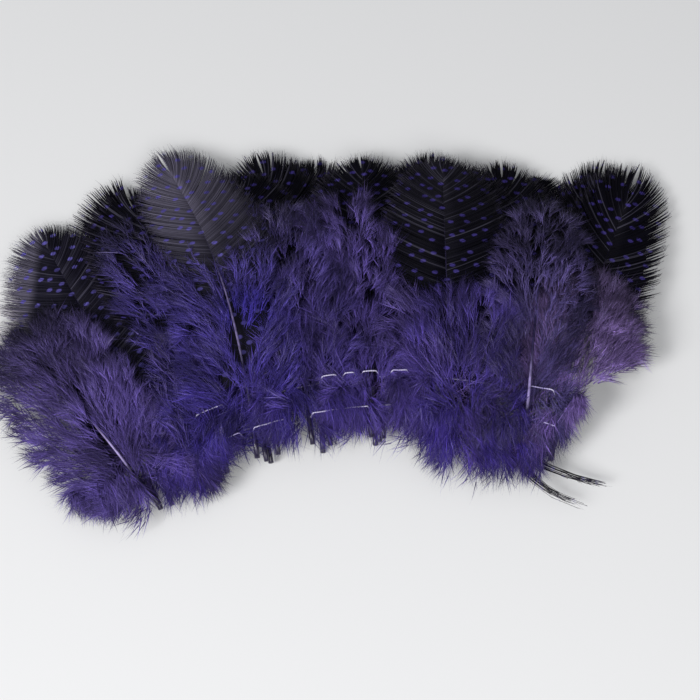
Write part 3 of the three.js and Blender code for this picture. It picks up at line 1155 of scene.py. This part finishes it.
def vane_material(tone):
    """Black barbs with purple spots, going grey and thin where the feather says so, the palest barbs painted
    with pale highlight lines.
    """
    material, tree, shader = new_material("spotted vane")
    plane = plane_of(tree)
    cells = node(
        tree,
        "ShaderNodeTexVoronoi",
        [("Vector", stretched(tree, plane, SPOT_SCALE, SPOT_TURN)), ("Scale", 1.0), ("Randomness", 0.6)],
        voronoi_dimensions="2D",
    )
    spots = ranged(tree, cells.outputs["Distance"], 0.12, 0.2, 1.0, 0.0)
    across, along = node(tree, "ShaderNodeSeparateXYZ", [(0, plane)]).outputs[:2]
    leftwards = node(tree, "ShaderNodeMath", [(0, PLANE_MIDDLE), (1, across)], operation="SUBTRACT")
    leaning = [(0, leftwards.outputs[0]), (1, value_of(tree, "grey_lean")), (2, along)]
    thinning = node(tree, "ShaderNodeMath", leaning, operation="MULTIPLY_ADD").outputs[0]
    greyed = ranged(tree, thinning, value_of(tree, "grey_from"), 1.0, 0.0, 1.0)
    thinned = ranged(tree, thinning, 1.07, 1.25, 0.0, 1.0)
    grey = blend(tree, thinned, blend(tree, greyed, VANE_DARK_GREY, VANE_GREY), VANE_THIN)
    ground = blend(tree, value_of(tree, "grey"), VANE_BLACK, grey)
    dye = blend(tree, value_of(tree, "grey"), SPOTS_ON_BLACK, SPOTS_ON_GREY)
    marked = blend(tree, spots, ground, dye)
    fringe = ranged(tree, value_of(tree, "reach"), 0.8, 1.0, 0.0, 0.5)
    edged = blend(tree, fringe, marked, VANE_FRINGE)
    # The palest barbs are blended to pale lines: painted highlights
    toned_with_painted_highlights = strand_tone(tree, tone, edged, (0.65, 1.3), 0.82, 0.2, VANE_PAINTED_HIGHLIGHT)
    wire(tree, shader, [("Base Color", toned_with_painted_highlights), ("Roughness", 0.6), ("Specular IOR Level", 0.08)])
    return material


def down_material(tone):
    """Purple hairs, from cool to mauve, dark at the feather's tip, in streaks and clouds; the palest hairs go
    pale, painted highlights of hairs catching the light.
    """
    material, tree, shader = new_material("purple down")
    streaks = noise(tree, stretched(tree, plane_of(tree), STREAK_SCALE), 1.0, 2.0, noise_dimensions="2D")
    place = place_of(tree)
    clouds = noise(tree, place, CLOUD_SCALE, 1.0)
    reach = value_of(tree, "reach")
    cool = blend(tree, reach, *COOL_DOWN)
    warm = blend(tree, reach, *WARM_DOWN)
    purple = blend(tree, value_of(tree, "warm"), cool, warm)
    apart = node(tree, "ShaderNodeVectorMath", [(0, place), (1, STRONG_DYE)], operation="DISTANCE")
    strong = ranged(tree, apart.outputs["Value"], 0.003, 0.011, 0.75, 0.0)
    dyed = blend(tree, strong, purple, STRONG_DOWN)
    tipped = blend(tree, ranged(tree, reach, 0.55, 0.97, 0.0, 0.88), dyed, DARK_DOWN)
    dulled = blend(tree, value_of(tree, "dull"), tipped, DULL_DOWN)
    clouded = scaled(tree, dulled, ranged(tree, clouds, 0.35, 0.65, 0.75, 1.35))
    streaked = scaled(tree, clouded, ranged(tree, streaks, 0.3, 0.7, 0.68, 1.3))
    # The palest hairs are blended to a pale lilac: painted highlights
    toned_with_painted_glints = strand_tone(tree, tone, streaked, (0.45, 1.85), 0.88, 0.45, PALE_DOWN_PAINTED_HIGHLIGHT)
    bump = bumped(tree, streaks, 0.3, 0.0002)
    upward = node(
        tree,
        "ShaderNodeVectorTransform",
        [(0, (0, 0, 1))],
        vector_type="NORMAL",
        convert_from="OBJECT",
        convert_to="WORLD",
    ).outputs[0]
    soft = node(tree, "ShaderNodeMix", [(0, 0.7), (4, bump), (5, upward)], data_type="VECTOR")
    wire(tree, shader, [("Base Color", toned_with_painted_glints), ("Normal", soft.outputs[1])])
    wire(tree, shader, [("Roughness", 0.6), ("Specular IOR Level", 0.3)])
    return material


def quill_material():
    """Dark horn, pale where the shaft lies bare, finely mottled."""
    material, tree, shader = new_material("quill")
    shaft = blend(tree, value_of(tree, "shade"), QUILL_DARK, QUILL_PALE)
    past_end = ranged(tree, value_of(tree, "reach"), 0.03, 0.14, 0.0, 1.0)
    colour = blend(tree, past_end, QUILL_END, shaft)
    mottle = noise(tree, place_of(tree), MOTTLE_SCALE, 2.0)
    mottled = scaled(tree, colour, ranged(tree, mottle, 0.3, 0.7, 0.75, 1.25))
    roughness = ranged(tree, mottle, 0.3, 0.7, 0.22, 0.42)
    wire(tree, shader, [("Base Color", mottled), ("Roughness", roughness)])
    return material


def thread_material():
    """Pale spun fibres, stained in places by the dye."""
    material, tree, shader = new_material("sewing thread")
    fibres = noise(tree, stretched(tree, plane_of(tree), FIBRE_SCALE), 1.0, 2.0, noise_dimensions="2D")
    stain = noise(tree, place_of(tree), STAIN_SCALE, 1.0)
    dyed = blend(tree, ranged(tree, stain, 0.42, 0.68, 0.0, 0.8), THREAD_PALE, THREAD_STAINED)
    spun = scaled(tree, dyed, ranged(tree, fibres, 0.3, 0.7, 0.8, 1.15))
    bump = bumped(tree, fibres, 0.4, 0.00005)
    wire(tree, shader, [("Base Color", spun), ("Normal", bump), ("Roughness", 0.6)])
    return material


def build_thread(name, outwards, ends, stitches, rises, material):
    """Two strands twisted together along the run over the feathers' bases, in the down between stitches."""
    t = np.linspace(0, 1, THREAD_SECTIONS)
    place = lerp(*ends, t)
    x, y = seam_point(place, outwards)
    run = (LAST_LEVEL + SOLID_SHARE) * level_spacing(x, y) + THREAD_DIAMETER / 2 + THREAD_CLEARANCE
    shown = 0 * t
    for begin, stop in stitches:
        shown += smooth(place, begin - STITCH_TURN, begin) * (1 - smooth(place, stop, stop + STITCH_TURN))
    rise = np.interp(place, *rises) + THREAD_WAVE * np.sin(THREAD_WAVES * place)
    height = run - THREAD_SINKS + rise - THREAD_DIP * (1 - np.minimum(shown, 1))
    centre = np.stack([x, y, height], -1) * MM
    _, side, normal = frames(centre[None], np.zeros((1, THREAD_SECTIONS)))
    weave = Weave()
    strand_radius = THREAD_DIAMETER / 4 * MM
    for strand, (band, band_width) in enumerate(THREAD_BANDS):
        turn = (2 * np.pi * THREAD_TWISTS * t + np.pi * strand)[:, None]
        axis = centre + strand_radius * (side[0] * np.cos(turn) + normal[0] * np.sin(turn))
        points = tube_points(axis, STRAND_SWELL * strand_radius, THREAD_SIDES)
        ones = np.ones((THREAD_SECTIONS, THREAD_SIDES))
        u = bake_run(t, long=THREAD_BAKE_LONG)[:, None] * ones
        v = band + band_width * np.linspace(0, 1, THREAD_SIDES) * ones
        strip = np.stack([u, v], -1)
        weave.add(points, tube_faces(THREAD_SECTIONS, THREAD_SIDES), 0, strip, strip, ones, ones)
    mesh = weave.mesh(name + "_twist", [material], {})
    piece = bpy.data.objects.new(name + "_twist", mesh)
    bpy.context.scene.collection.objects.link(piece)
    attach(piece, "root")
    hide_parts(name)


def build_stage():
    bpy.ops.mesh.primitive_plane_add(size=SHEET_SIZE, location=(0, 0, 0))
    floor = bpy.context.object
    floor.name = "sheet"
    material, tree, shader = new_material("pale sheet")
    wire(tree, shader, [("Base Color", SHEET_COLOUR), ("Roughness", 0.9)])
    floor.data.materials.append(material)
    world = bpy.data.worlds.new("studio")
    world.use_nodes = True
    sky = world.node_tree.nodes["Background"]
    wire(world.node_tree, sky, [("Color", SKY_COLOUR), ("Strength", SKY_STRENGTH)])
    bpy.context.scene.world = world
    for name, place, size, power in LIGHTS:
        light = bpy.data.lights.new(name, "AREA")
        light.size = size
        light.energy = power
        lamp = bpy.data.objects.new(name, light)
        lamp.location = place
        lamp.rotation_euler = (-Vector(place)).to_track_quat("-Z", "Y").to_euler()
        bpy.context.scene.collection.objects.link(lamp)


def build_camera():
    elevation = math.radians(CAMERA_ELEVATION)
    back = Vector((0, -math.cos(elevation), math.sin(elevation)))
    data = bpy.data.cameras.new("camera")
    data.sensor_width = SENSOR_WIDTH
    data.lens = SENSOR_WIDTH * CAMERA_DISTANCE / VIEW_WIDTH
    camera = bpy.data.objects.new("camera", data)
    camera.location = Vector(CAMERA_TARGET) + back * CAMERA_DISTANCE
    camera.rotation_euler = (-back).to_track_quat("-Z", "Y").to_euler()
    bpy.context.scene.collection.objects.link(camera)
    bpy.context.scene.camera = camera
    bpy.context.scene.view_settings.view_transform = "Standard"


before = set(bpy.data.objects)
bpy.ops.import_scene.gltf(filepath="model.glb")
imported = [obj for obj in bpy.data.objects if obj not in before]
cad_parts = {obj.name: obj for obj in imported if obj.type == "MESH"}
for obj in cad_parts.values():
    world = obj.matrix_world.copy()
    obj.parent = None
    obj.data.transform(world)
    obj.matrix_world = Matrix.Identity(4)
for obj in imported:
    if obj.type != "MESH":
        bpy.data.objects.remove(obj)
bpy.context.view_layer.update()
tone = strand_tone_group()
looks = [vane_material(tone), down_material(tone), quill_material()]
for each in feathers():
    build_feather(each, looks)
sewing = thread_material()
for run in THREADS:
    build_thread(*run, sewing)
build_stage()
build_camera()
